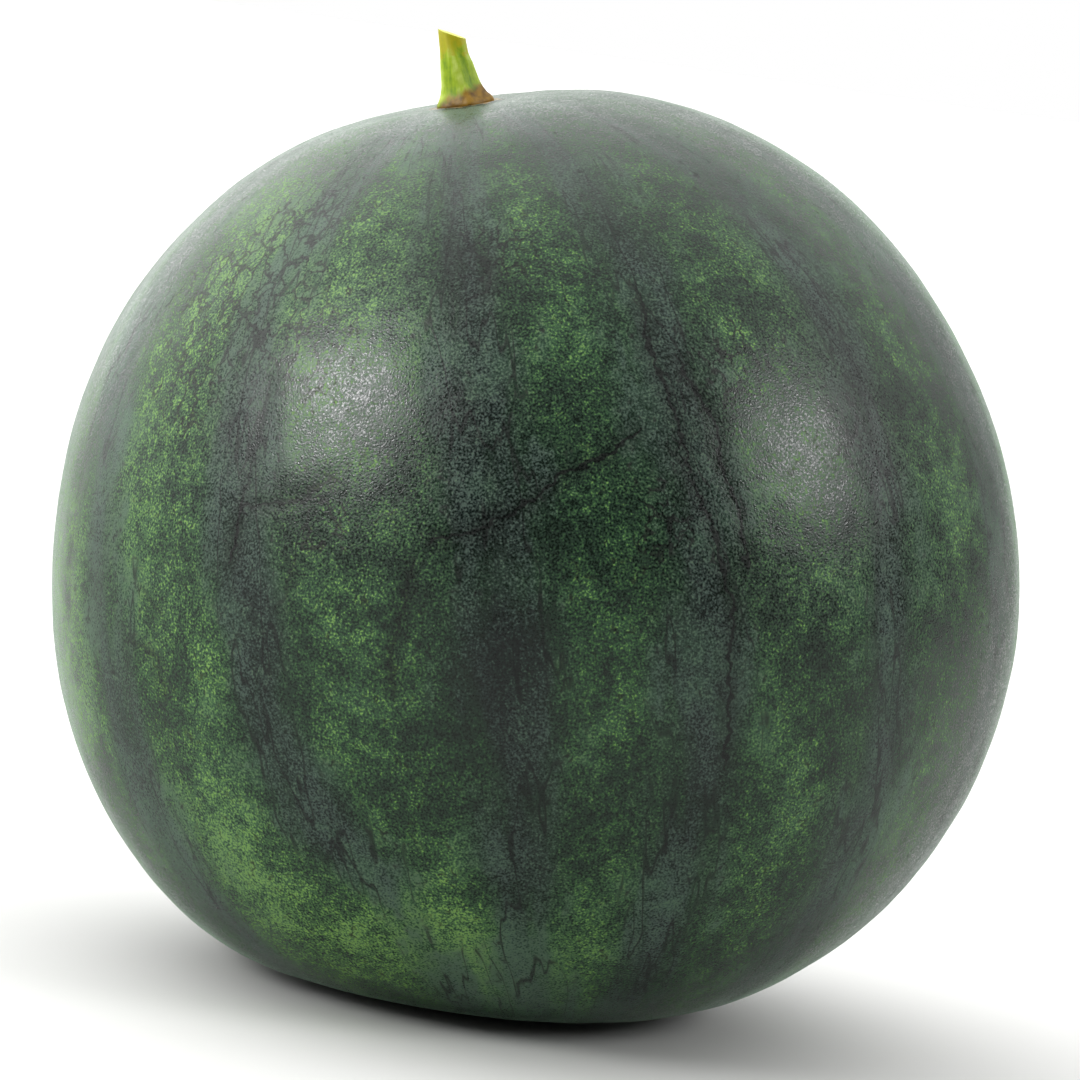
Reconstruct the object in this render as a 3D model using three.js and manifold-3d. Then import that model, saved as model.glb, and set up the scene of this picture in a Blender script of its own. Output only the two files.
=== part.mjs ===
// Watermelon: a whole round melon with the stub of its stalk, resting on a small flat spot.
// Millimetres, +Z up, front towards -Y. The origin is on the flat spot, straight below the melon's middle.

import * as THREE from 'three';
import { mergeVertices } from 'three/addons/utils/BufferGeometryUtils.js';
import Module from 'manifold-3d';

// The melon's body

const meanRadius = 115.1;
const heartHeight = 101.35; // from the flat spot up to the middle of the melon
const coreLean = { left: 10.5, forward: 3 }; // degrees from upright of the line about which the melon is round
const restSag = 0.35; // how far the underside would bulge below the flat spot
const restCurl = 30; // higher turns the edge of the flat spot more tightly
const skinRows = 18; // rows of facets along each edge of the starting icosahedron

// The turned profile: waves in the radius from the stalk's end to the blossom end, in millimetres
const squat = -1.2; // two waves a turn: flatter at both ends
const heavy = 1.15; // three waves a turn: widest low down
const square = -0.95; // four waves a turn: full shoulders

// Where the melon swells or is flatter than that: degrees clockwise from the top as seen from the front,
// degrees towards the front, and height
const swellSpread = 20;
const swellings = [
  { clock: 52, forward: 0, height: -1.0 },
  { clock: 112, forward: 0, height: -1.1 },
  { clock: 165, forward: 0, height: -0.7 },
  { clock: 200, forward: 0, height: -0.8 },
  { clock: 228, forward: 0, height: -0.65 },
  { clock: 266, forward: 0, height: -1.45 },
  { clock: 300, forward: 0, height: -0.95 },
  { clock: 335, forward: 0, height: -0.75 },
  { clock: 75, forward: 50, height: 0.5 },
  { clock: 285, forward: 42, height: -0.7 },
  { clock: 60, forward: -45, height: 0.4 },
  { clock: 245, forward: -50, height: -0.9 },
];

// Long shallow lobes that run from the stalk to the blossom end
const lobes = [
  { count: 5, height: 0.35, phase: 40 },
  { count: 8, height: 0.25, phase: 115 },
  { count: 13, height: 0.16, phase: 200 },
];

// The stalk's end: how far it leans to the left and to the front, and the dip round it
const stalkLean = { left: 16, forward: 3.5 };
const dipDepth = 3.2;
const dipSpread = 13; // degrees
const seatRadius = 7.2;
const seatSink = 0.3; // below the skin at the middle of the dip

// The scar where the flower was, a shallow dish at the core's lower end
const scarRadius = 4.2;
const scarDepth = 0.7;
const scarSides = 20;

// The stalk's stub

const stalkGap = 0.3;
const stalkLength = 18.6;
const stalkSides = 30;
const stalkRadii = [
  { height: 0, radius: 6.4 },
  { height: 0.7, radius: 6.8 },
  { height: 1.6, radius: 6.3 },
  { height: 3.1, radius: 5.2 },
  { height: 5.2, radius: 4.5 },
  { height: 8, radius: 4.05 },
  { height: 11, radius: 3.6 },
  { height: 14, radius: 3.25 },
  { height: 18.6, radius: 3.0 },
  { height: 21, radius: 2.95 },
];
const stalkRibs = { count: 5, share: 0.055, twist: 2.2, phase: 20 }; // twist in degrees for each millimetre
const stalkBend = 0.65; // how far the top leans out of line, towards the left
const cutSlope = 27; // degrees that the cut end falls towards the right
const cutBlock = 30;

const rad = THREE.MathUtils.degToRad;
const heart = new THREE.Vector3(0, 0, heartHeight);

// Direction on the melon, from degrees clockwise from the top and degrees towards the front
function towards(clock, forward) {
  const side = Math.cos(rad(forward));
  return new THREE.Vector3(Math.sin(rad(clock)) * side, -Math.sin(rad(forward)), Math.cos(rad(clock)) * side);
}

function bell(angle, spread) {
  return Math.exp(-((angle / rad(spread)) ** 2));
}

function leaning({ left, forward }) {
  return new THREE.Vector3(-Math.tan(rad(left)), -Math.tan(rad(forward)), 1).normalize();
}

const coreWay = leaning(coreLean);
const stalkWay = leaning(stalkLean);
const swellWays = swellings.map(({ clock, forward }) => towards(clock, forward));

// Two directions square to the core, from which a place's turn round it is measured
const coreBack = new THREE.Vector3(0, 1, 0).addScaledVector(coreWay, -coreWay.y).normalize();
const coreRight = coreBack.clone().cross(coreWay);

function lobeHeight(way) {
  const turn = Math.atan2(way.dot(coreBack), way.dot(coreRight));
  const fade = 1 - way.dot(coreWay) ** 2;
  return lobes.reduce((sum, { count, height, phase }) => sum + fade * height * Math.cos(count * turn + rad(phase)), 0);
}

function skinRadius(way) {
  const fromStalk = way.angleTo(coreWay);
  let radius = meanRadius + squat * Math.cos(2 * fromStalk) + heavy * Math.cos(3 * fromStalk);
  radius += square * Math.cos(4 * fromStalk);
  radius -= dipDepth * bell(way.angleTo(stalkWay), dipSpread);
  swellings.forEach(({ height }, i) => {
    radius += height * bell(way.angleTo(swellWays[i]), swellSpread);
  });
  radius += lobeHeight(way);
  if (way.z >= 0) return radius;
  const toFloor = (heartHeight + restSag) / -way.z;
  return (radius ** -restCurl + toFloor ** -restCurl) ** (-1 / restCurl);
}

const wasm = await Module();
wasm.setup();

function toSolid(geometry) {
  const bare = geometry.clone();
  bare.deleteAttribute('normal');
  bare.deleteAttribute('uv');
  const merged = mergeVertices(bare);
  return new wasm.Manifold(new wasm.Mesh({
    numProp: 3,
    vertProperties: new Float32Array(merged.attributes.position.array),
    triVerts: new Uint32Array(merged.index.array),
  }));
}

function toGeometry(solid) {
  const { vertProperties, triVerts } = solid.getMesh();
  const geometry = new THREE.BufferGeometry();
  geometry.setAttribute('position', new THREE.BufferAttribute(vertProperties, 3));
  geometry.setIndex(new THREE.BufferAttribute(triVerts, 1));
  geometry.computeVertexNormals();
  return geometry;
}

function movePoints(geometry, move) {
  const points = geometry.attributes.position;
  const point = new THREE.Vector3();
  for (let i = 0; i < points.count; i += 1) {
    move(point.fromBufferAttribute(points, i));
    points.setXYZ(i, point.x, point.y, point.z);
  }
  return geometry;
}

// Turns a shape built along +Z to stand on the melon along the stalk's line, at a distance from the heart
function standOnStalkLine(geometry, distance) {
  geometry.applyQuaternion(new THREE.Quaternion().setFromUnitVectors(new THREE.Vector3(0, 0, 1), stalkWay));
  const place = heart.clone().addScaledVector(stalkWay, distance);
  return geometry.translate(place.x, place.y, place.z);
}

const seatDistance = skinRadius(stalkWay) - seatSink;
const scarPlace = heart.clone().addScaledVector(coreWay, -heartHeight / coreWay.z);

function makeFruit() {
  const skin = movePoints(new THREE.IcosahedronGeometry(1, skinRows - 1), (point) => {
    const way = point.clone().normalize();
    point.copy(heart).addScaledVector(way, skinRadius(way));
  });
  const floor = new THREE.BoxGeometry(4 * meanRadius, 4 * meanRadius, meanRadius).translate(0, 0, -meanRadius / 2);
  const seatDepth = 10 * seatSink;
  const seat = new THREE.CylinderGeometry(seatRadius, seatRadius, seatDepth, stalkSides)
    .rotateX(Math.PI / 2)
    .translate(0, 0, seatDepth / 2);
  const dish = new THREE.SphereGeometry(1, scarSides, scarSides / 2)
    .rotateX(Math.PI / 2)
    .scale(scarRadius, scarRadius, scarDepth)
    .translate(scarPlace.x, scarPlace.y, scarPlace.z);
  return toSolid(skin)
    .subtract(toSolid(floor))
    .subtract(toSolid(standOnStalkLine(seat, seatDistance)))
    .subtract(toSolid(dish));
}

function makeStalk() {
  const profile = [new THREE.Vector2(0, 0)];
  stalkRadii.forEach(({ height, radius }) => profile.push(new THREE.Vector2(radius, height)));
  profile.push(new THREE.Vector2(0, stalkRadii.at(-1).height));
  const stub = new THREE.LatheGeometry(profile, stalkSides).rotateX(Math.PI / 2);
  movePoints(stub, (point) => {
    const rise = point.z / stalkLength;
    const turn = Math.atan2(point.y, point.x);
    const wave = stalkRibs.count * turn + rad(stalkRibs.phase + stalkRibs.count * stalkRibs.twist * point.z);
    const reach = Math.hypot(point.x, point.y);
    const swell = 1 + stalkRibs.share * Math.cos(wave);
    point.x = reach * swell * Math.cos(turn) - stalkBend * rise * (2 - rise);
    point.y = reach * swell * Math.sin(turn);
  });
  const block = new THREE.BoxGeometry(cutBlock, cutBlock, cutBlock)
    .translate(0, 0, cutBlock / 2)
    .rotateY(rad(cutSlope))
    .translate(-stalkBend, 0, stalkLength - stalkRadii.at(-1).radius * Math.tan(rad(cutSlope)));
  const cut = toSolid(stub).subtract(toSolid(block));
  return standOnStalkLine(toGeometry(cut), seatDistance + stalkGap);
}

const rind = new THREE.MeshStandardMaterial({ color: '#3d5a3c', roughness: 0.45, metalness: 0 });
const stalkSkin = new THREE.MeshStandardMaterial({ color: '#8fae3a', roughness: 0.6, metalness: 0 });

const fruit = new THREE.Mesh(toGeometry(makeFruit()), rind);
fruit.name = 'fruit';
const stem = new THREE.Mesh(makeStalk(), stalkSkin);
stem.name = 'stem';

const watermelon = new THREE.Group();
watermelon.add(fruit, stem);

export default watermelon;
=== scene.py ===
import math
import random

import bmesh
import bpy
import numpy as np
from bpy.props import FloatProperty, FloatVectorProperty, PointerProperty
from mathutils import Matrix, Vector, noise


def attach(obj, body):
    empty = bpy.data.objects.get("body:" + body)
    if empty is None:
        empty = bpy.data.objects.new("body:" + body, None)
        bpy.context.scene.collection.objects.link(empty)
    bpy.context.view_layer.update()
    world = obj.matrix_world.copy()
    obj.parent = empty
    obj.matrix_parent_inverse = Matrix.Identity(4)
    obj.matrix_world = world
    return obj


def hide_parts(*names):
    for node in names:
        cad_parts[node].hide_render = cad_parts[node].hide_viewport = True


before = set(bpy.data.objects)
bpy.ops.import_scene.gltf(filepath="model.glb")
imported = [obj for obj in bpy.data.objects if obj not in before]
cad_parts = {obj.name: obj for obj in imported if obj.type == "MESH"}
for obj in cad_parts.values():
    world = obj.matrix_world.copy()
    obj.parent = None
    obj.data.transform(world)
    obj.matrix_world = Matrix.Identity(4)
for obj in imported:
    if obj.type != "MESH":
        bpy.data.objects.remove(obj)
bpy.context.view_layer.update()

bl_info = {
    "name": "Watermelon",
    "version": (1, 0, 0),
    "blender": (4, 5, 0),
    "location": "3D View > Sidebar > Watermelon",
    "description": "A whole round watermelon with the stub of its stalk, resting on its flat spot",
    "category": "Add Mesh",
}

MM = 0.001

# The melon's form, in the numbers of its solid

MEAN_RADIUS = 115.1 * MM
HEART_HEIGHT = 101.35 * MM  # from the flat spot up to the middle of the melon
CORE_LEAN = (10.5, 3)  # degrees to the left and to the front of the line about which the melon is round
STALK_LEAN = (16, 3.5)
REST_SAG = 0.35 * MM  # how far the underside would bulge below the flat spot
REST_CURL = 30  # higher turns the edge of the flat spot more tightly
SQUAT = -1.2 * MM  # two waves a turn: flatter at both ends
HEAVY = 1.15 * MM  # three waves a turn: widest low down
SQUARE = -0.95 * MM  # four waves a turn: full shoulders
DIP_DEPTH = 3.2 * MM  # round the stalk's foot
DIP_SPREAD = 13  # degrees
SEAT_SINK = 0.3 * MM  # of the stalk's foot below the skin

# Where the melon swells or is flatter: degrees clockwise from the top as seen from the front, degrees
# towards the front, and height in millimetres
SWELL_SPREAD = 20
SWELLINGS = (
    (52, 0, -1.0), (112, 0, -1.1), (165, 0, -0.7), (200, 0, -0.8), (228, 0, -0.65), (266, 0, -1.45),
    (300, 0, -0.95), (335, 0, -0.75), (75, 50, 0.5), (285, 42, -0.7), (60, -45, 0.4), (245, -50, -0.9),
)
LOBES = ((5, 0.35, 40), (8, 0.25, 115), (13, 0.16, 200))  # count, height in millimetres, phase in degrees

# The skin's fine relief
SEED_STEPS = (3.7, 1.9, 5.3)  # how far one seed's lumps lie from the next one's, along each axis
SKIN_LUMPS = ((24, 0.22), (9, 0.1), (4, 0.04))  # size and height in millimetres
STRIPE_SINK = 0.12 * MM
STRIPE_SHOULDER = 4 * MM
CREASE_SINK = 0.1 * MM
CREASE_WIDTH = 1.6 * MM
REST_EDGE = 4 * MM  # the relief dies away from this height down to the flat spot

# The skin's mesh
CELLS = 116  # squares along each side of the cube that the skin is blown up from
FINE_REACH = 7  # degrees from the stalk and from the blossom scar within which the squares are smaller

# The dark stripes: the turn round the melon, in degrees from the front towards its right, that each one
# has at five descents from the stalk. The six in front are listed one by one. The rest are spaced evenly,
# and each wanders a little at every descent
STRIPE_DESCENTS = (22, 50, 75, 100, 130)
FRONT_STRIPES = (
    (-72, -65, -57, -54, -48),
    (-27, -35, -33, -30, -14),
    (-2, -3, -2, -1, -3),
    (21, 23, 22, 20, 14),
    (47, 51, 47, 45, 41),
    (77, 72, 74, 70, 66),
)
BACK_STRIPES = {"count": 8, "first": 97, "apart": 25.7}  # degrees
STRIPE_WANDER = 3.5  # degrees
STRIPE_END_SHARE = 0.3  # of its width at the waist that a stripe keeps at its ends
STRIPE_SHARES = (0.85, 1.15)  # least and greatest width of a stripe, as shares of the usual one
STRIPE_SEED = 7
FAR = 1.0  # metres, farther than any place on the melon is from a stripe or a crease

# Creases and dark veins in the skin: how dark each one is, then its points in degrees to the right of the
# front and degrees up from level, at the heart
CREASES = (
    (0.95, (-11, 7), (-6, 9), (-1, 13), (3, 17), (7, 19), (10, 22)),
    (0.95, (10, 38), (11, 32), (13, 28), (15, 24), (16, 20), (17, 17), (20, 12), (21, 8), (23, 4), (23, -1),
     (24, -6), (25, -13)),
    (0.95, (15, 31), (16, 29), (19, 25), (20, 22), (21, 18), (23, 14), (24, 9)),
    (0.6, (14, 21), (17, 17)),
    (1.0, (-35, 8), (-35, 6), (-35, 3), (-35, 1)),
    (0.75, (-36, 21), (-35, 15), (-35, 8)),
    (0.5, (-40, 16), (-38, 12), (-38, 10)),
    (0.85, (-34, 7), (-30, 8), (-27, 9), (-24, 12)),
    (0.4, (-31, 11), (-30, 9)),
    (0.6, (-27, 2), (-27, -1), (-28, -3)),
    (0.5, (-48, -5), (-45, -7)),
    (0.6, (-51, -11), (-48, -11), (-45, -12), (-44, -16)),
    (0.6, (-14, 20), (-12, 23)),
    (0.5, (37, 29), (38, 27)),
    (0.5, (36, 25), (38, 24)),
    (0.7, (-13, 4), (-13, -1), (-14, -6), (-13, -10)),
    (0.75, (-15, 41), (-12, 40), (-11, 36), (-13, 35)),
    (0.5, (36, 42), (42, 35), (43, 26), (42, 17), (42, 10), (42, 2), (45, -5), (51, -15)),
    (0.5, (-23, 51), (-19, 42), (-14, 31)),
    (0.5, (-3, 0), (-1, -9), (0, -16)),
    (0.45, (-60, 30), (-64, 18), (-66, 4), (-65, -10)),
)
# Creases behind are drawn at random: how many, where each starts, how many points follow, how many degrees
# each of them is to the right of the last one and below it, and how dark the crease is
BACK_CREASES = {
    "count": 30, "right": (95, 265), "up": (-25, 55), "more": (2, 6), "aside": (-3, 4), "down": (2, 7),
    "darkness": (0.3, 0.75),
}
CREASE_SEED = 11

# Patches that are brighter or darker than the rest: degrees right and up, radius in millimetres, and tone
MIDDLE_TONE = 0.5
# The large light patches low round the base and on the left are painted light, for the bounce off the white
# paper and the light from the left; the rest are the skin's own mottling
MOTTLE_AND_PAINTED_LIGHT_PATCHES = (
    (-9, 49, 13, 0.02), (0, 31, 15, 0.03), (-17, 28, 9, 0.08), (-20, 0, 15, 0.04), (-38, -10, 14, 0.16),
    (-50, 7, 16, 0.1), (-40, -34, 24, 0.22), (-7, -41, 20, 0.32), (16, -36, 14, 0.14), (26, 44, 14, 0.05),
    (-19, -17, 6, 0.07), (-38, 35, 20, 0.06), (-52, 30, 40, 0.23), (-65, -5, 28, 0.1), (-25, -45, 18, 0.24),
    (-60, 0, 18, 0.14), (38, -27, 12, 0.08), (8, -50, 18, 0.2), (-62, -18, 18, 0.16), (-25, 52, 28, 0.08),
    (0, -2, 9, -0.22), (-3, -8, 10, -0.15), (-13, -1, 8, -0.12), (-1, 9, 10, -0.08), (-17, 40, 8, -0.09),
    (9, -3, 14, -0.04), (-32, -3, 8, -0.12), (9, 16, 14, -0.05), (40, 1, 16, -0.05),
)

# Where slate spreads out of the stripes, or green breaks into them: degrees right and up, radius and
# reach in millimetres
SLATE_PATCHES = (
    (-10, 25, 11, 7), (-55, 29, 12, 7), (-29, -7, 10, 6), (20, -2, 9, 5), (-24, -27, 11, 5),
    (-14, -31, 8, 4), (-38, 15, 10, 6), (-7, 10, 8, 8), (2, 17, 8, 8), (9, 22, 8, 6), (-3, -8, 13, 6),
    (-30, 12, 9, 4), (-36, -10, 7, -7), (-1, 3, 6, -5), (44, 12, 9, -6), (24, 40, 8, -5), (-2, 40, 7, -6),
    (-6, -38, 11, -9), (-25, -49, 14, -7), (16, -40, 10, -7), (-28, -39, 10, -8),
)

# Where the skin is crazed: degrees right and up, and radius in millimetres
CRAZED = (
    (-53, 30, 14), (-44, 37, 13), (-39, 27, 12), (-46, 44, 11), (-48, 18, 9), (-30, 24, 9), (22, 31, 10),
    (38, 26, 10), (-12, 42, 9), (-24, 8, 8), (14, 12, 8),
)
BACK_CRAZED = {"count": 9, "right": (85, 275), "up": (-25, 50), "radius": (9, 16)}  # drawn at random
CRAZED_ALL_OVER = 0.22
CRAZE_SEED = 5

# The stalk's stub, in the numbers of its solid
STALK_LENGTH = 18.6 * MM
STALK_RADII = (
    (0, 6.4), (0.7, 6.8), (1.6, 6.3), (3.1, 5.2), (5.2, 4.5), (8, 4.05), (11, 3.6), (14, 3.25), (18.6, 3.0),
    (21, 2.95),
)  # height and radius in millimetres
STALK_RIBS = {"count": 5, "share": 0.055, "twist": 2.2, "phase": 20}  # twist in degrees for each millimetre
STALK_BEND = 0.65 * MM
CUT_SLOPE = 27  # degrees that the cut end falls towards the right
CUT_START = 10 * MM  # below this height the cut's slant has no effect
STALK_STEPS = 96  # faces round the stub
STALK_ROW = 0.3 * MM  # height of a row of faces
STALK_ROUNDS = 3  # how many times the corners of the outline are smoothed
CAP_SHARES = (0.97, 0.88, 0.72, 0.55, 0.36, 0.18, 0)  # rings of the cut face, as shares of its radius
SAME_POINT = 0.001 * MM  # points nearer to each other than this are joined

# The stalk's rough skin: fine grain all over, and lumps in the dry foot
GRAIN_SIZE = 0.7 * MM
GRAIN_HEIGHT = 0.05 * MM
GRAIN_SQUEEZE = 0.15  # lengthways, so that the grain looks drawn out along the stalk
CORK_SIZE = 1.6 * MM
CORK_HEIGHT = 0.2 * MM
CORK_TOP = (1.5 * MM, 4 * MM)  # the lumps are full up to the first height and gone from the second
ROUGH_REACH = 2 * MM  # nearer to the stub's middle than this, all roughness dwindles
# Painted highlight and shade: the ribs are painted lighter and the grooves between them darker
RIB_HIGHLIGHT_AND_GROOVE_SHADE = 0.2  # how much lighter a rib is than the middle tone

# The corky collar round the stalk, and the scar where the flower was
COLLAR_RADIUS = 8.2 * MM
COLLAR_RISE = 0.3 * MM
COLLAR_WIDTH = 0.9 * MM
SCAR_RADIUS = 4.2 * MM
SCAR_DEPTH = 0.7 * MM

# The photograph's view
CAMERA_DISTANCE = 1.25  # metres from the heart
CAMERA_RISE = 6.0  # degrees above level
CAMERA_ROLL = 8.0  # degrees that the melon looks turned clockwise
PHOTO_SIDE = 1080
HEART_PIXEL = (531.2, 564.8)  # across and down
MM_PER_PIXEL = 0.2377  # at the heart
SENSOR = 36  # millimetres across
PAPER_REACH = 30  # metres from the middle of the paper to each edge

# The room's light: the ways that it mostly comes from, each with how narrow it is and its strength
ROOM_SHADE = 0.02  # from everywhere else
ROOM_LIGHT = (
    ((0, 0, 1), 4, 1.6), ((-0.35, 1, 0.4), 2, 1.6), ((-1, 0.5, 0.7), 3, 2.3), ((1, 0.7, 1), 6, 1.1),
)
# How far right, up and towards the view each lamp is
LAMPS = (("left_lamp", -0.75, 0.46, 0.475), ("right_lamp", 0.825, 0.49, 0.282))
LAMP_ANGLE = 21  # degrees across, as the melon sees a lamp


def linear(code):
    """Linear colour from an sRGB hex code"""
    parts = (int(code[i:i + 2], 16) / 255 for i in (1, 3, 5))
    return tuple(part / 12.92 if part <= 0.04045 else ((part + 0.055) / 1.055) ** 2.4 for part in parts)


def unit(rows):
    """Vectors of length one, for one vector or for rows of them"""
    rows = np.asarray(rows, dtype=float)
    return rows / np.linalg.norm(rows, axis=-1, keepdims=True)


def leaning(left, forward):
    """Line up through the melon that leans by so many degrees"""
    return unit((-math.tan(math.radians(left)), -math.tan(math.radians(forward)), 1))


HEART = Vector((0, 0, HEART_HEIGHT))
CORE = leaning(*CORE_LEAN)
STALK = leaning(*STALK_LEAN)


def towards(clock, forward):
    """Line from the heart, by degrees clockwise from the top and degrees towards the front"""
    clock, forward = math.radians(clock), math.radians(forward)
    side = math.cos(forward)
    return np.array((math.sin(clock) * side, -math.sin(forward), math.cos(clock) * side))


def facing(right, up):
    """Line from the heart, by degrees to the right of the front and degrees up from level"""
    right, up = math.radians(right), math.radians(up)
    return np.array((math.sin(right) * math.cos(up), -math.cos(right) * math.cos(up), math.sin(up)))


def from_cube(places):
    """Lines from the heart for places on a cube from -1 to 1, spaced almost evenly"""
    return unit(np.tan(places * math.pi / 4))


def degrees_between(ways, line):
    """Angle of each of many lines from one line"""
    return np.degrees(np.arccos(np.clip(ways @ line, -1, 1)))


def bell(ways, line, spread):
    """One on a line, and less with every degree away from it"""
    return np.exp(-(degrees_between(ways, line) / spread) ** 2)


def across(millimetres):
    """The angle at the heart that a length on the skin takes up, in degrees"""
    return math.degrees(millimetres * MM / MEAN_RADIUS)


def spot(ways, right, up, radius):
    """A soft round spot on the skin, by degrees right and up and its radius in millimetres"""
    return bell(ways, facing(right, up), across(radius))


def fade(values, low, high):
    """Nothing at the low value, one at the high value, and smooth between them"""
    share = np.clip((values - low) / (high - low), 0, 1)
    return share * share * (3 - 2 * share)


def skin_radius(ways):
    """How far the skin is from the heart along each line"""
    from_core = np.arccos(np.clip(ways @ CORE, -1, 1))
    radius = MEAN_RADIUS + SQUAT * np.cos(2 * from_core) + HEAVY * np.cos(3 * from_core)
    radius += SQUARE * np.cos(4 * from_core)
    radius -= DIP_DEPTH * bell(ways, STALK, DIP_SPREAD)
    for clock, forward, height in SWELLINGS:
        radius += height * MM * bell(ways, towards(clock, forward), SWELL_SPREAD)
    back = unit(np.array((0, 1, 0)) - CORE[1] * CORE)
    turn = np.arctan2(ways @ back, ways @ np.cross(back, CORE))
    for count, height, phase in LOBES:
        radius += (1 - (ways @ CORE) ** 2) * height * MM * np.cos(count * turn + math.radians(phase))
    down = np.maximum(-ways[:, 2], 1e-6)
    to_floor = (HEART_HEIGHT + REST_SAG) / down
    rested = (radius ** -REST_CURL + to_floor ** -REST_CURL) ** (-1 / REST_CURL)
    return np.where(ways[:, 2] < 0, rested, radius)


def melon_places(ways):
    """Turn round the melon and descent from the stalk to the blossom end, in degrees"""
    from_stalk = degrees_between(ways, STALK)
    from_blossom = degrees_between(ways, -CORE)
    share = (from_stalk / (from_stalk + from_blossom))[:, None]
    axis = unit(STALK * (1 - share) + CORE * share)
    right = unit(np.array((1, 0, 0)) - axis[:, :1] * axis)
    back = np.cross(axis, right)
    turn = np.degrees(np.arctan2((ways * right).sum(1), -(ways * back).sum(1)))
    return turn, 180 * share[:, 0]


def lumps(places, size, seed):
    """Smooth random heights of about plus or minus one, with lumps of a given size"""
    shift = Vector([seed * step for step in SEED_STEPS])
    return np.array([noise.noise(Vector(place) / size + shift) for place in places.tolist()])


def stripe_depths(turn, descent, width):
    """How far each place is inside the edge of the nearest stripe, in metres, less than nothing outside"""
    draw = random.Random(STRIPE_SEED)
    stripes = list(FRONT_STRIPES)
    for i in range(BACK_STRIPES["count"]):
        middle = BACK_STRIPES["first"] + BACK_STRIPES["apart"] * i
        stripes.append([middle + draw.uniform(-STRIPE_WANDER, STRIPE_WANDER) for _ in STRIPE_DESCENTS])
    girth = np.sin(np.radians(descent))
    half = 0.5 * width * (STRIPE_END_SHARE + (1 - STRIPE_END_SHARE) * girth)
    depth = np.full(len(turn), -FAR)
    for stripe in stripes:
        middle = np.interp(descent, STRIPE_DESCENTS, stripe)
        off = (turn - middle + 180) % 360 - 180
        from_middle = np.abs(np.radians(off)) * MEAN_RADIUS * girth
        depth = np.maximum(depth, half * draw.uniform(*STRIPE_SHARES) - from_middle)
    return depth


def back_creases():
    """Creases for the far side, which run down the melon as those in front do"""
    draw = random.Random(CREASE_SEED)
    creases = []
    for _ in range(BACK_CREASES["count"]):
        right, up = draw.uniform(*BACK_CREASES["right"]), draw.uniform(*BACK_CREASES["up"])
        crease = [(right, up)]
        for _ in range(draw.randint(*BACK_CREASES["more"])):
            right += draw.uniform(*BACK_CREASES["aside"])
            up -= draw.uniform(*BACK_CREASES["down"])
            crease.append((right, up))
        creases.append((draw.uniform(*BACK_CREASES["darkness"]), *crease))
    return creases


def crease_distances(ways, places):
    """Distance to the nearest crease, the same with a sign for its side, and how dark the crease is"""
    nearest = np.full(len(ways), FAR)
    sided = np.full(len(ways), FAR)
    darkness = np.zeros(len(ways))
    for strength, *crease in (*CREASES, *back_creases()):
        lines = np.array([facing(right, up) for right, up in crease])
        points = lines * skin_radius(lines)[:, None] + np.array(HEART)
        for start, end in zip(points, points[1:]):
            run = end - start
            along = np.clip((places - start) @ run / (run @ run), 0, 1)
            gap = places - (start + along[:, None] * run)
            distance = np.linalg.norm(gap, axis=1)
            side = np.sign((gap * np.cross(unit(run), ways)).sum(1))
            closer = distance < nearest
            nearest = np.where(closer, distance, nearest)
            sided = np.where(closer, distance * side, sided)
            darkness = np.where(closer, strength, darkness)
    return nearest, sided, darkness


def crazing(ways):
    """How crazed each place is: a little everywhere, and up to about one in patches"""
    draw = random.Random(CRAZE_SEED)
    patches = list(CRAZED)
    for _ in range(BACK_CRAZED["count"]):
        patches.append([draw.uniform(*BACK_CRAZED[measure]) for measure in ("right", "up", "radius")])
    return CRAZED_ALL_OVER + sum(spot(ways, *patch) for patch in patches)


def aside(places, line):
    """How far places are from a line out of the heart, in metres, and a whole radius behind the heart"""
    from_heart = places - np.array(HEART)
    along = from_heart @ line
    distance = np.linalg.norm(from_heart - along[:, None] * line, axis=1)
    return np.where(along > 0, distance, MEAN_RADIUS)


def grown_mesh(name, grown):
    """Turns what bmesh has grown into a mesh"""
    shape = bpy.data.meshes.new(name)
    grown.to_mesh(shape)
    grown.free()
    return shape


def points_of(shape):
    """A mesh's points, a row for each"""
    flat = np.empty(3 * len(shape.vertices))
    shape.vertices.foreach_get("co", flat)
    return flat.reshape(-1, 3)


def fine_cube():
    """A cube of small squares, smaller still where the stalk and the blossom scar will be"""
    grown = bmesh.new()
    bmesh.ops.create_cube(grown, size=2)
    bmesh.ops.subdivide_edges(grown, edges=grown.edges[:], cuts=CELLS - 1, use_grid_fill=True)
    # Each round halves the squares round both ends, the second round in rings that are a degree narrower
    for line in (STALK, -CORE):
        for reach in (FINE_REACH, FINE_REACH - 1):
            middles = np.array([face.calc_center_median() for face in grown.faces])
            near = degrees_between(from_cube(middles), line) < reach
            edges = {edge for face, is_near in zip(grown.faces, near) if is_near for edge in face.edges}
            bmesh.ops.subdivide_edges(grown, edges=list(edges), cuts=1, use_grid_fill=True)
    return grown_mesh("rind", grown)


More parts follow.
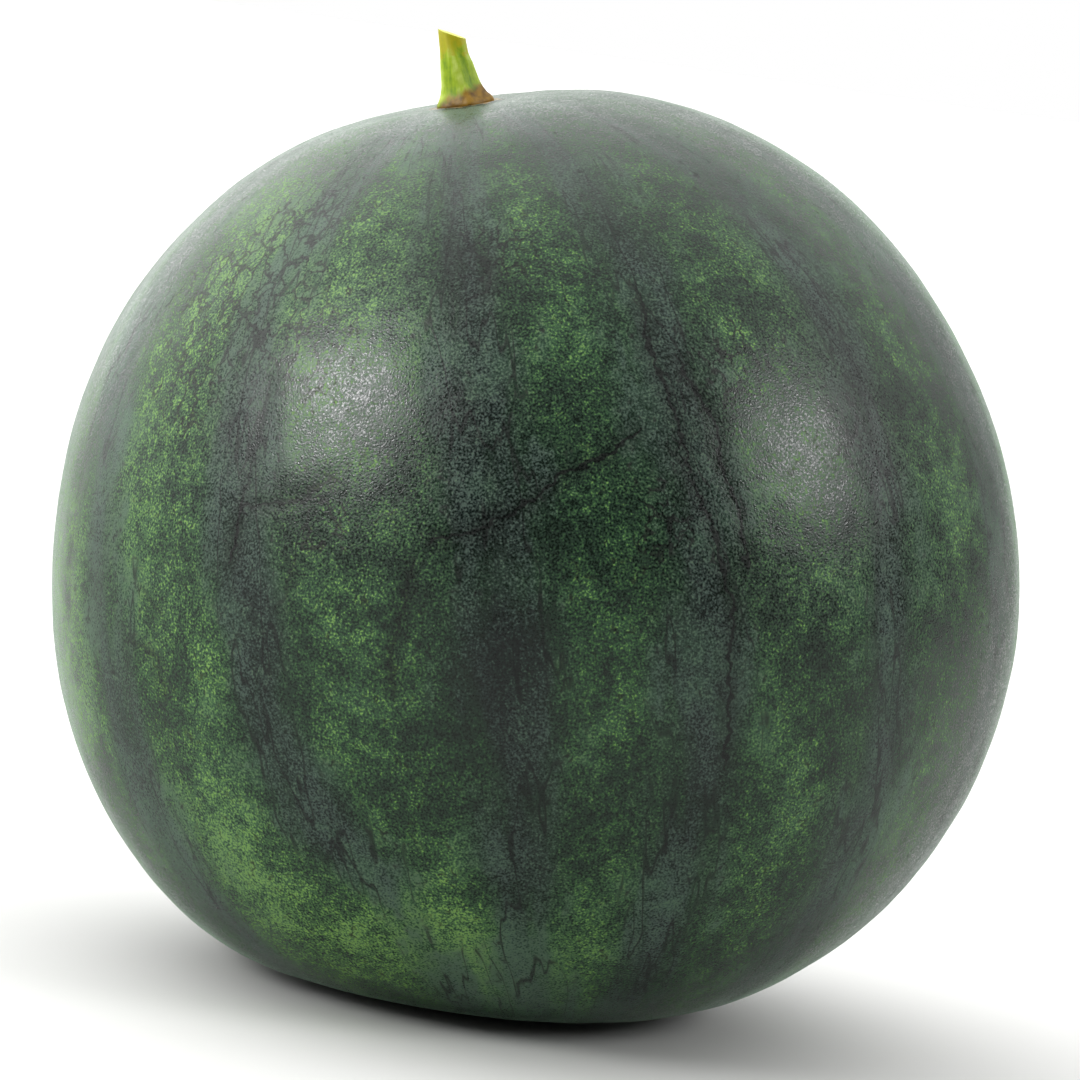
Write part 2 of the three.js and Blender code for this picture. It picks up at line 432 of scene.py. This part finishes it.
def turned_stub():
    """The stalk turned from its outline up to a level cut, and the height of that cut"""
    heights, radii = (np.array(row) * MM for row in zip(*STALK_RADII))
    rows = np.arange(0, STALK_LENGTH, STALK_ROW)
    reaches = np.interp(rows, heights, radii)
    for _ in range(STALK_ROUNDS):
        reaches[1:-1] = 0.25 * reaches[:-2] + 0.5 * reaches[1:-1] + 0.25 * reaches[2:]
    top = rows[-1]
    outline = [(0, 0), *zip(reaches, rows), *((reaches[-1] * share, top) for share in CAP_SHARES)]
    grown = bmesh.new()
    points = [grown.verts.new((reach, 0, height)) for reach, height in outline]
    edges = [grown.edges.new(pair) for pair in zip(points, points[1:])]
    bmesh.ops.spin(grown, geom=points + edges, cent=(0, 0, 0), axis=(0, 0, 1), angle=2 * math.pi,
                   steps=STALK_STEPS, use_merge=True)
    bmesh.ops.remove_doubles(grown, verts=grown.verts[:], dist=SAME_POINT)
    bmesh.ops.recalc_face_normals(grown, faces=grown.faces[:])
    for face in grown.faces:
        lowest = min(point.co.z for point in face.verts)
        face.material_index = int(lowest > top - SAME_POINT)  # the cut face is the second material's
    return grown_mesh("stem", grown), top


def new_piece(name, shape, replaced, materials):
    """An object of a finished mesh that rides with the melon and stands for one of its solids"""
    piece = bpy.data.objects.new(name, shape)
    bpy.context.scene.collection.objects.link(piece)
    for material in materials:
        shape.materials.append(material)
    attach(piece, "root")
    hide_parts(replaced)
    return piece


def store(shape, name, values):
    """Keeps one number or one vector for each point of a mesh, for its material to read"""
    kind, key = ("FLOAT", "value") if values.ndim == 1 else ("FLOAT_VECTOR", "vector")
    layer = shape.attributes.new(name, kind, "POINT")
    layer.data.foreach_set(key, values.astype(np.float32).ravel())


# Finishes

def add(tree, kind, links=None, output=0, stops=None, **settings):
    """Adds a node, fills or links its inputs, and gives back one of its outputs, or for None the node"""
    node = tree.nodes.new(kind)
    for name, value in settings.items():
        setattr(node, name, value)
    if stops:
        marks = node.color_ramp.elements
        while len(marks) < len(stops):
            marks.new(1)
        for mark, (position, colour) in zip(marks, stops):
            mark.position = position
            mark.color = (*colour, 1)
    for key, value in (links or {}).items():
        if isinstance(value, bpy.types.NodeSocket):
            tree.links.new(value, node.inputs[key])
        else:
            node.inputs[key].default_value = value
    return node if output is None else node.outputs[output]


def new_finish(name, **values):
    """A material with one shader, whose even values sit on the shader's own sockets"""
    material = bpy.data.materials.new(name)
    material.use_nodes = True
    tree = material.node_tree
    tree.nodes.clear()
    sockets = {key.replace("_", " "): value for key, value in values.items()}
    shader = add(tree, "ShaderNodeBsdfPrincipled", sockets, output=None)
    add(tree, "ShaderNodeOutputMaterial", {"Surface": shader.outputs[0]}, output=None)
    return material, tree, shader


def weigh(tree, first, *terms):
    """A value plus any number of patterns, each centred on nothing and scaled by its own weight"""
    total = first
    for pattern, weight in terms:
        part = add(tree, "ShaderNodeMath", {0: pattern, 1: 0.5}, operation="SUBTRACT")
        total = add(tree, "ShaderNodeMath", {0: part, 1: weight, 2: total}, operation="MULTIPLY_ADD")
    return total


def rind_finish(looks):
    """Waxy melon rind: green skin under a thin bloom of wax, with fine dimples that break up highlights"""
    material, tree, shader = new_finish("waxy_melon_rind", IOR=1.3, Sheen_Weight=0.34, Sheen_Roughness=0.2,
                                         Sheen_Tint=(0.7, 1, 0.74, 1))
    place = add(tree, "ShaderNodeTexCoord", output="Object")
    flow = add(tree, "ShaderNodeAttribute", output="Vector", attribute_name="flow")
    along = add(tree, "ShaderNodeMapping", {"Vector": flow, "Scale": (1, 1, 0.2)})
    inside, tone, crease, crease_side, crease_dark, crazed, callus = (
        add(tree, "ShaderNodeAttribute", output="Fac", attribute_name=name)
        for name in ("stripe", "tone", "crease", "crease_side", "crease_dark", "crazed", "callus"))

    # Cloudiness of several sizes; the flecks are cells of the skin and are drawn about twice as coarse
    broad = add(tree, "ShaderNodeTexNoise", {"Vector": place, "Scale": 1 / (24 * MM), "Detail": 1.0})
    patchy = add(tree, "ShaderNodeTexNoise", {"Vector": place, "Scale": 1 / (7 * MM), "Detail": 2.0})
    streaky = add(tree, "ShaderNodeTexNoise", {"Vector": along, "Scale": 1 / (6 * MM), "Detail": 3.0})
    ragged = add(tree, "ShaderNodeTexNoise", {"Vector": place, "Scale": 1 / (2.4 * MM), "Detail": 1.0})
    flecks = add(tree, "ShaderNodeTexNoise", {"Vector": place, "Scale": 1 / (0.52 * MM), "Detail": 1.0})

    # The tone holds painted light as well as mottling, and it lightens the green, the slate and the bloom
    # alike
    green_tone = weigh(tree, tone, (broad, 0.45), (patchy, 0.7), (ragged, 0.5), (flecks, 1.45))
    green = add(tree, "ShaderNodeValToRGB", {"Fac": green_tone}, stops=(
        (0.15, looks.ground_dark), (0.48, looks.ground), (0.75, looks.ground_light), (1.0, looks.flecks)))
    slate_tone = weigh(tree, tone, (broad, 0.4), (streaky, 0.8), (ragged, 0.45), (flecks, 2.1))
    slate = add(tree, "ShaderNodeValToRGB", {"Fac": slate_tone}, stops=(
        (0.15, looks.stripe_dark), (0.5, looks.stripe), (0.85, looks.stripe_light)))

    edge = weigh(tree, inside, (broad, 18 * MM), (streaky, 24 * MM), (patchy, 22 * MM), (ragged, 14 * MM),
                 (flecks, 20 * MM))
    striped = add(tree, "ShaderNodeMapRange", {"Value": edge, "From Min": -5 * MM, "From Max": 6 * MM,
                  "To Max": 0.86}, interpolation_type="SMOOTHSTEP")
    skin = add(tree, "ShaderNodeMix", {0: striped, 6: green, 7: slate}, output=2, data_type="RGBA")

    # Bloom: the wax is thicker in soft patches, which look pale and bluish. They follow the tone, so they
    # also gather where it holds painted light
    bloom = weigh(tree, tone, (broad, 1.0), (patchy, 1.0), (ragged, 0.3))
    bloom = add(tree, "ShaderNodeMapRange", {"Value": bloom, "From Min": 0.45, "From Max": 1.1,
                "To Max": 0.34}, interpolation_type="SMOOTHSTEP")
    skin = add(tree, "ShaderNodeMix", {0: bloom, 6: skin, 7: (*looks.bloom, 1)}, output=2, data_type="RGBA")

    # Veins: where a drawn-out noise passes its middle value there is a thin dark line that branches
    winding = add(tree, "ShaderNodeTexNoise",
                  {"Vector": along, "Scale": 1 / (15 * MM), "Detail": 3.0, "Roughness": 0.6})
    off_middle = add(tree, "ShaderNodeMath", {0: winding, 1: 0.5}, operation="SUBTRACT")
    off_middle = add(tree, "ShaderNodeMath", {0: off_middle}, operation="ABSOLUTE")
    vein = add(tree, "ShaderNodeMapRange", {"Value": off_middle, "From Min": 0.002, "From Max": 0.015,
               "To Min": 1.0, "To Max": 0.0}, interpolation_type="SMOOTHSTEP")
    near_stripe = add(tree, "ShaderNodeMapRange", {"Value": edge, "From Min": -5 * MM, "From Max": 1 * MM,
                      "To Max": 0.8}, interpolation_type="SMOOTHSTEP")
    vein = add(tree, "ShaderNodeMath", {0: vein, 1: near_stripe}, operation="MULTIPLY")

    # Crazing: a net of fine dark lines, in patches
    drawn = add(tree, "ShaderNodeMapping", {"Vector": flow, "Scale": (1, 1, 0.6)})
    bent = add(tree, "ShaderNodeTexNoise", {"Vector": place, "Scale": 1 / (3 * MM), "Detail": 2.0},
               output="Color")
    bend = add(tree, "ShaderNodeVectorMath", {0: bent, 1: (6 * MM, 6 * MM, 6 * MM), 2: drawn},
               operation="MULTIPLY_ADD")
    cells = add(tree, "ShaderNodeTexVoronoi", {"Vector": bend, "Scale": 1 / (5.5 * MM)},
                feature="DISTANCE_TO_EDGE")
    craze = add(tree, "ShaderNodeMapRange", {"Value": cells, "From Min": 0.01, "From Max": 0.1,
                "To Min": 1.0, "To Max": 0.0}, interpolation_type="SMOOTHSTEP")
    where = weigh(tree, crazed, (patchy, 1.6), (ragged, 2.4))
    where = add(tree, "ShaderNodeMapRange", {"Value": where, "From Min": 0.3, "From Max": 0.95,
                "To Max": 0.9}, interpolation_type="SMOOTHSTEP")
    craze = add(tree, "ShaderNodeMath", {0: craze, 1: where}, operation="MULTIPLY")

    # Creases: a wavering dark line in soft painted shade, which stands in for the shade in the crease's
    # shallow dip
    waver = weigh(tree, crease_side, (ragged, 3.5 * MM))
    waver = add(tree, "ShaderNodeMath", {0: waver}, operation="ABSOLUTE")
    line = add(tree, "ShaderNodeMapRange", {"Value": waver, "From Min": 0.2 * MM, "From Max": 0.9 * MM,
               "To Min": 1.0, "To Max": 0.0}, interpolation_type="SMOOTHSTEP")
    crease_painted_shade = add(tree, "ShaderNodeMapRange", {"Value": crease, "From Max": 4.5 * MM, "To Min": 0.42,
                "To Max": 0.0}, interpolation_type="SMOOTHSTEP")
    close = add(tree, "ShaderNodeMapRange", {"Value": crease, "From Min": 1.4 * MM, "From Max": 2.4 * MM,
                "To Min": 1.0, "To Max": 0.0}, interpolation_type="SMOOTHSTEP")
    line = add(tree, "ShaderNodeMath", {0: line, 1: close}, operation="MULTIPLY")
    line = add(tree, "ShaderNodeMath", {0: line, 1: crease_painted_shade}, operation="MAXIMUM")
    line = add(tree, "ShaderNodeMath", {0: line, 1: crease_dark}, operation="MULTIPLY")

    # Veins, crazing, crease lines and the painted shade beside the creases all darken towards the vein
    # colour
    dark = add(tree, "ShaderNodeMath", {0: vein, 1: craze}, operation="MAXIMUM")
    dark = add(tree, "ShaderNodeMath", {0: dark, 1: line}, operation="MAXIMUM")
    skin = add(tree, "ShaderNodeMix", {0: dark, 6: skin, 7: (*looks.vein, 1)}, output=2, data_type="RGBA")

    # Cork: the collar at the stalk's foot, and the scar at the other end
    corky = weigh(tree, callus, (ragged, 4 * MM), (flecks, 2 * MM))
    corky = add(tree, "ShaderNodeMapRange", {"Value": corky, "From Min": -0.6 * MM, "From Max": 0.9 * MM,
                "To Max": 0.9}, interpolation_type="SMOOTHSTEP")
    cork = add(tree, "ShaderNodeValToRGB", {"Fac": flecks}, stops=(
        (0.35, looks.cork_dark), (0.65, looks.cork)))
    skin = add(tree, "ShaderNodeMix", {0: corky, 6: skin, 7: cork}, output=2, data_type="RGBA")
    tree.links.new(skin, shader.inputs["Base Color"])

    gloss = weigh(tree, 0.38, (patchy, 0.2), (ragged, 0.2), (flecks, 0.9))
    tree.links.new(gloss, shader.inputs["Roughness"])
    # Dimples too fine for the mesh, about half a millimetre apart
    dimples = add(tree, "ShaderNodeTexNoise",
                  {"Vector": place, "Scale": 1 / (0.5 * MM), "Detail": 1.0, "Roughness": 0.6})
    normal = add(tree, "ShaderNodeBump", {"Height": dimples, "Strength": 1.0, "Distance": 0.08 * MM})
    tree.links.new(normal, shader.inputs["Normal"])
    return material


def stalk_finish(looks):
    """Fresh melon stalk: smooth and moist where it is green, dry and corky at its foot"""
    material, tree, shader = new_finish("fresh_melon_stalk", Roughness=0.55, IOR=1.3)
    place = add(tree, "ShaderNodeAttribute", output="Vector", attribute_name="stub")
    height = add(tree, "ShaderNodeSeparateXYZ", {"Vector": place}, output="Z")
    rib = add(tree, "ShaderNodeAttribute", output="Fac", attribute_name="rib")
    drawn = add(tree, "ShaderNodeMapping", {"Vector": place, "Scale": (1, 1, 0.12)})
    fibres = add(tree, "ShaderNodeTexNoise", {"Vector": drawn, "Scale": 1 / (0.9 * MM), "Detail": 3.0})
    spots = add(tree, "ShaderNodeTexNoise", {"Vector": place, "Scale": 1 / (2.2 * MM), "Detail": 3.0})
    # The rib value paints a highlight along each rib and shade in the grooves between them
    tone = weigh(tree, rib, (fibres, 0.7), (spots, 0.6))
    green = add(tree, "ShaderNodeValToRGB", {"Fac": tone}, stops=(
        (0.2, looks.groove_with_painted_shade), (0.5, looks.body), (0.8, looks.ridge_with_painted_highlight)))
    sideways = add(tree, "ShaderNodeSeparateXYZ", {"Vector": place}, output="X")
    rise = add(tree, "ShaderNodeMath", {0: sideways, 1: -0.3, 2: height}, operation="MULTIPLY_ADD")
    drying = weigh(tree, height, (spots, 14 * MM))
    drying = add(tree, "ShaderNodeMapRange", {"Value": drying, "From Min": 11.5 * MM, "From Max": 15.5 * MM,
                 "To Max": 0.85}, interpolation_type="SMOOTHSTEP")
    green = add(tree, "ShaderNodeMix", {0: drying, 6: green, 7: (*looks.dried, 1)}, output=2,
                data_type="RGBA")
    corky = weigh(tree, rise, (spots, -3 * MM), (fibres, -2 * MM))
    foot = add(tree, "ShaderNodeMapRange", {"Value": corky, "From Min": 2.4 * MM, "From Max": 4.8 * MM,
               "To Min": 1.0, "To Max": 0.0}, interpolation_type="SMOOTHSTEP")
    cork = add(tree, "ShaderNodeValToRGB", {"Fac": spots}, stops=(
        (0.35, looks.cork_dark), (0.6, looks.cork)))
    skin = add(tree, "ShaderNodeMix", {0: foot, 6: green, 7: cork}, output=2, data_type="RGBA")
    tree.links.new(skin, shader.inputs["Base Color"])
    grain = weigh(tree, fibres, (spots, 0.5))
    normal = add(tree, "ShaderNodeBump", {"Height": grain, "Strength": 0.7, "Distance": 0.15 * MM})
    tree.links.new(normal, shader.inputs["Normal"])
    return material


def pith_finish(looks):
    """The stalk's cut face: pale moist pith with darker strands in it"""
    material, tree, shader = new_finish("cut_melon_pith", Roughness=0.6, IOR=1.3)
    place = add(tree, "ShaderNodeTexCoord", output="Object")
    strands = add(tree, "ShaderNodeTexVoronoi", {"Vector": place, "Scale": 1 / (1.1 * MM)})
    pith = add(tree, "ShaderNodeValToRGB", {"Fac": strands}, stops=((0.1, looks.body), (0.45, looks.pith)))
    tree.links.new(pith, shader.inputs["Base Color"])
    return material


def paper_finish(colour):
    """Matt white paper, with no glints in it"""
    return new_finish("matt_white_paper", Base_Color=(*colour, 1), Roughness=0.9)[0]


# What a user would change

class RindLooks(bpy.types.PropertyGroup):
    """The melon's skin"""
    stripe_width: FloatProperty(
        name="Stripe width", description="Across a dark stripe at the melon's waist",
        default=14 * MM, min=0, subtype="DISTANCE", unit="LENGTH")
    ground_dark: FloatVectorProperty(
        name="Darkest green", description="Between the flecks",
        default=linear("#111b14"), subtype="COLOR")
    ground: FloatVectorProperty(
        name="Green", description="The skin between the stripes",
        default=linear("#1b3022"), subtype="COLOR")
    ground_light: FloatVectorProperty(
        name="Light green", description="Where the skin is lighter",
        default=linear("#365b31"), subtype="COLOR")
    flecks: FloatVectorProperty(
        name="Flecks", description="The lightest flecks",
        default=linear("#7aa24c"), subtype="COLOR")
    stripe_dark: FloatVectorProperty(
        name="Darkest slate", description="The darkest of a stripe",
        default=linear("#0f1513"), subtype="COLOR")
    stripe: FloatVectorProperty(
        name="Slate", description="The stripes",
        default=linear("#1b2623"), subtype="COLOR")
    stripe_light: FloatVectorProperty(
        name="Light slate", description="The lightest of a stripe",
        default=linear("#3f4e48"), subtype="COLOR")
    bloom: FloatVectorProperty(
        name="Bloom", description="Where the wax is thick",
        default=linear("#456650"), subtype="COLOR")
    # Also the colour of the painted shade beside the creases
    vein: FloatVectorProperty(
        name="Vein", description="Veins, crazing and creases",
        default=linear("#060a08"), subtype="COLOR")
    cork: FloatVectorProperty(
        name="Cork", description="The stalk's collar and the scar",
        default=linear("#a5834a"), subtype="COLOR")
    cork_dark: FloatVectorProperty(
        name="Dark cork", description="The darkest of them",
        default=linear("#5c4322"), subtype="COLOR")


class StalkLooks(bpy.types.PropertyGroup):
    """The stub of the stalk"""
    # The darkest green, which also paints shade in the grooves
    groove_with_painted_shade: FloatVectorProperty(
        name="Groove", description="Between the ribs",
        default=linear("#6a8f00"), subtype="COLOR")
    body: FloatVectorProperty(
        name="Green", description="Most of the stalk",
        default=linear("#9db80e"), subtype="COLOR")
    # The lightest green, which also paints a highlight along the ribs
    ridge_with_painted_highlight: FloatVectorProperty(
        name="Ridge", description="Along the ribs",
        default=linear("#c2d562"), subtype="COLOR")
    dried: FloatVectorProperty(
        name="Dried", description="Just below the cut",
        default=linear("#b0a400"), subtype="COLOR")
    cork: FloatVectorProperty(
        name="Cork", description="The corky foot",
        default=linear("#8f6c14"), subtype="COLOR")
    cork_dark: FloatVectorProperty(
        name="Dark cork", description="The darkest of the foot",
        default=linear("#583c08"), subtype="COLOR")
    pith: FloatVectorProperty(
        name="Pith", description="The cut face",
        default=linear("#cdd562"), subtype="COLOR")


class StageLooks(bpy.types.PropertyGroup):
    """The floor and the light"""
    floor: FloatVectorProperty(
        name="Floor", description="The paper under the melon",
        default=linear("#dadad8"), subtype="COLOR")
    room_light: FloatProperty(
        name="Room", description="Brightness of the room", default=1.0, min=0)
    left_lamp: FloatProperty(
        name="Left lamp", description="Brightness of the left lamp", default=0.9, min=0)
    left_lamp_glint: FloatProperty(
        name="Left glint", description="What the left lamp adds to the gloss alone", default=4.2, min=0)
    right_lamp: FloatProperty(
        name="Right lamp", description="Brightness of the right lamp", default=0.8, min=0)
    right_lamp_glint: FloatProperty(
        name="Right glint", description="What the right lamp adds to the gloss alone", default=2.0, min=0)


# The pieces

class WATERMELON_OT_rind(bpy.types.Operator):
    """Makes the melon's skin in place of its plain solid"""
    bl_idname = "watermelon.rind"
    bl_label = "Rind"

    def execute(self, context):
        looks = context.scene.watermelon_rind
        shape = fine_cube()
        ways = from_cube(points_of(shape))
        turn, descent = melon_places(ways)
        places = np.array(HEART) + ways * skin_radius(ways)[:, None]
        stripe = stripe_depths(turn, descent, looks.stripe_width)
        for right, up, radius, reach in SLATE_PATCHES:
            stripe += reach * MM * spot(ways, right, up, radius)
        crease, crease_side, crease_dark = crease_distances(ways, places)
        from_stalk, from_scar = aside(places, STALK), aside(places, -CORE)

        relief = -STRIPE_SINK * fade(stripe, -STRIPE_SHOULDER, STRIPE_SHOULDER)
        for seed, (size, height) in enumerate(SKIN_LUMPS, 1):
            relief += height * MM * lumps(places, size * MM, seed)
        relief -= CREASE_SINK * crease_dark * np.exp(-(crease / CREASE_WIDTH) ** 2)
        relief += COLLAR_RISE * np.exp(-((from_stalk - COLLAR_RADIUS) / COLLAR_WIDTH) ** 2)
        relief *= fade(places[:, 2], 0, REST_EDGE)
        places += ways * relief[:, None]
        places[:, 2] = np.maximum(places[:, 2], 0)
        # The scar is dug last, into the flat spot
        dish = SCAR_DEPTH * np.clip(1 - (from_scar / SCAR_RADIUS) ** 2, 0, 1)
        places -= ways * dish[:, None]
        shape.vertices.foreach_set("co", places.ravel())

        # The tone is the skin's mottling plus painted light, lighter low round the base and on the left
        tone = np.full(len(ways), MIDDLE_TONE)
        for right, up, radius, amount in MOTTLE_AND_PAINTED_LIGHT_PATCHES:
            tone += amount * spot(ways, right, up, radius)
        # The flow is the skin rolled out into a tube, along which patterns can be drawn out
        spin = np.radians(turn)
        arc = MEAN_RADIUS * np.radians(descent)
        store(shape, "flow", np.column_stack((MEAN_RADIUS * np.cos(spin), MEAN_RADIUS * np.sin(spin), arc)))
        store(shape, "stripe", stripe)
        store(shape, "tone", tone)
        store(shape, "crease", crease)
        store(shape, "crease_side", crease_side)
        store(shape, "crease_dark", crease_dark)
        store(shape, "crazed", crazing(ways))
        store(shape, "callus", np.maximum(COLLAR_RADIUS - from_stalk, SCAR_RADIUS - from_scar))
        shape.shade_smooth()
        shape.update()
        new_piece("rind", shape, "fruit", [rind_finish(looks)])
        return {"FINISHED"}


class WATERMELON_OT_stalk(bpy.types.Operator):
    """Makes the stub of the stalk in place of its plain solid"""
    bl_idname = "watermelon.stalk"
    bl_label = "Stalk"

    def execute(self, context):
        looks = context.scene.watermelon_stalk
        shape, top = turned_stub()
        x, y, height = points_of(shape).T
        reach, turn = np.hypot(x, y), np.arctan2(y, x)
        wave = STALK_RIBS["count"] * (turn + np.radians(STALK_RIBS["twist"] * height / MM))
        rib = np.cos(wave + math.radians(STALK_RIBS["phase"]))
        swell = 1 + STALK_RIBS["share"] * rib
        x, y = reach * swell * np.cos(turn), reach * swell * np.sin(turn)
        # The cut is level until here: its points now slide along the stalk on to the slanting plane
        lifted = height - CUT_START
        rise = height / STALK_LENGTH
        slope = math.tan(math.radians(CUT_SLOPE))
        cut_height = STALK_LENGTH - (STALK_RADII[-1][1] * MM + x) * slope
        stretch = (cut_height - CUT_START) / (top - CUT_START)
        height = np.where(lifted > 0, CUT_START + lifted * stretch, height)
        x = x - STALK_BEND * rise * (2 - rise)
        places = np.column_stack((x, y, height))

        grain = GRAIN_HEIGHT * lumps(places * (1, 1, GRAIN_SQUEEZE), GRAIN_SIZE, seed=11)
        dry = 1 - fade(height, *CORK_TOP)
        rough = grain + CORK_HEIGHT * dry * lumps(places, CORK_SIZE, seed=12)
        share = 1 + rough / np.maximum(reach, ROUGH_REACH)
        places *= np.column_stack((share, share, np.ones(len(share))))
        shape.vertices.foreach_set("co", places.ravel())
        store(shape, "stub", places)
        # The rib value paints a highlight along each rib and shade in each groove
        store(shape, "rib", MIDDLE_TONE + RIB_HIGHLIGHT_AND_GROOVE_SHADE * rib)

        stand = Vector((0, 0, 1)).rotation_difference(Vector(STALK))
        seat = skin_radius(STALK[None])[0] - SEAT_SINK
        place = Matrix.Translation(HEART + Vector(STALK) * seat) @ stand.to_matrix().to_4x4()
        shape.transform(place)
        shape.shade_smooth()
        new_piece("stem", shape, "stem", [stalk_finish(looks), pith_finish(looks)])
        return {"FINISHED"}


class WATERMELON_OT_stage(bpy.types.Operator):
    """Lays white paper under the melon, lights it and sets the camera"""
    bl_idname = "watermelon.stage"
    bl_label = "Stage"

    def execute(self, context):
        looks = context.scene.watermelon_stage
        sheet = bmesh.new()
        bmesh.ops.create_grid(sheet, x_segments=1, y_segments=1, size=PAPER_REACH)
        shape = grown_mesh("floor", sheet)
        shape.materials.append(paper_finish(looks.floor))
        floor = bpy.data.objects.new("floor", shape)
        context.scene.collection.objects.link(floor)
        self.light_room(context.scene, looks)
        self.set_camera(context.scene)
        right, up, back = self.view_lines()
        for name, side, rise, near in LAMPS:
            way = right * side + up * rise + back * near
            self.hang_lamp(context.scene, name, way, getattr(looks, name))
            glint = self.hang_lamp(context.scene, name + "_glint", way, getattr(looks, name + "_glint"))
            glint.visible_diffuse = False  # it shows only in the wax
        context.scene.view_settings.view_transform = "Standard"
        return {"FINISHED"}

    def view_lines(self):
        """Right, up and back as the level camera has them"""
        rise = math.radians(CAMERA_RISE)
        back = Vector((0, -math.cos(rise), math.sin(rise)))
        right = Vector((1, 0, 0))
        return right, back.cross(right), back

    def light_room(self, scene, looks):
        """Surroundings that look white, but light the melon mostly from above, behind and both sides"""
        room = bpy.data.worlds.new("white_room")
        room.use_nodes = True
        tree = room.node_tree
        tree.nodes.clear()
        way = add(tree, "ShaderNodeTexCoord", output="Generated")
        bright = ROOM_SHADE * looks.room_light
        for line, narrowness, strength in ROOM_LIGHT:
            ahead = add(tree, "ShaderNodeVectorMath", {0: way, 1: Vector(line).normalized()},
                        output="Value", operation="DOT_PRODUCT")
            ahead = add(tree, "ShaderNodeMath", {0: ahead, 1: 0.0}, operation="MAXIMUM")
            spread = add(tree, "ShaderNodeMath", {0: ahead, 1: narrowness}, operation="POWER")
            bright = add(tree, "ShaderNodeMath", {0: spread, 1: strength * looks.room_light, 2: bright},
                         operation="MULTIPLY_ADD")
        seen = add(tree, "ShaderNodeLightPath", output="Is Camera Ray")
        strength = add(tree, "ShaderNodeMix", {0: seen, 2: bright, 3: 1.0}, data_type="FLOAT")
        light = add(tree, "ShaderNodeBackground", {"Strength": strength, "Color": (1, 1, 1, 1)})
        add(tree, "ShaderNodeOutputWorld", {"Surface": light}, output=None)
        scene.world = room

    def hang_lamp(self, scene, name, way, brightness):
        """A large soft lamp so far away that it lights all the paper evenly"""
        light = bpy.data.lights.new(name, "SUN")
        light.angle = math.radians(LAMP_ANGLE)
        light.energy = brightness
        lamp = bpy.data.objects.new(name, light)
        scene.collection.objects.link(lamp)
        lamp.matrix_world = way.to_track_quat("Z", "Y").to_matrix().to_4x4()
        return lamp

    def set_camera(self, scene):
        """The photograph's view, from straight in front and a little above, with the camera tilted aside"""
        right, up, back = self.view_lines()
        roll = math.radians(CAMERA_ROLL)
        sideways = right * math.cos(roll) + up * math.sin(roll)
        upright = up * math.cos(roll) - right * math.sin(roll)
        lens = bpy.data.cameras.new("camera")
        lens.sensor_width = SENSOR
        lens.lens = SENSOR * CAMERA_DISTANCE / (MM_PER_PIXEL * MM * PHOTO_SIDE)
        lens.shift_x = 0.5 - HEART_PIXEL[0] / PHOTO_SIDE
        lens.shift_y = HEART_PIXEL[1] / PHOTO_SIDE - 0.5
        lens.clip_end = 100  # metres
        camera = bpy.data.objects.new("camera", lens)
        scene.collection.objects.link(camera)
        turned = Matrix((sideways, upright, back)).transposed().to_4x4()
        camera.matrix_world = Matrix.Translation(HEART + back * CAMERA_DISTANCE) @ turned
        scene.camera = camera


class WATERMELON_PT_panel(bpy.types.Panel):
    """Lists the melon's pieces and their looks"""
    bl_label = "Watermelon"
    bl_idname = "WATERMELON_PT_panel"
    bl_space_type = "VIEW_3D"
    bl_region_type = "UI"
    bl_category = "Watermelon"

    def draw(self, context):
        scene = context.scene
        for operator, looks in (
            (WATERMELON_OT_rind, scene.watermelon_rind),
            (WATERMELON_OT_stalk, scene.watermelon_stalk),
            (WATERMELON_OT_stage, scene.watermelon_stage),
        ):
            box = self.layout.box()
            box.operator(operator.bl_idname)
            for name in looks.__annotations__:
                box.prop(looks, name)


LOOKS = {"watermelon_rind": RindLooks, "watermelon_stalk": StalkLooks, "watermelon_stage": StageLooks}
OPERATORS = (WATERMELON_OT_rind, WATERMELON_OT_stalk, WATERMELON_OT_stage)
CLASSES = (*LOOKS.values(), *OPERATORS, WATERMELON_PT_panel)


def register():
    for cls in CLASSES:
        bpy.utils.register_class(cls)
    for name, looks in LOOKS.items():
        setattr(bpy.types.Scene, name, PointerProperty(type=looks))


def unregister():
    for name in LOOKS:
        delattr(bpy.types.Scene, name)
    for cls in reversed(CLASSES):
        bpy.utils.unregister_class(cls)


def main():
    register()
    bpy.ops.watermelon.stage()
    bpy.ops.watermelon.rind()
    bpy.ops.watermelon.stalk()


if __name__ == "__main__":
    main()
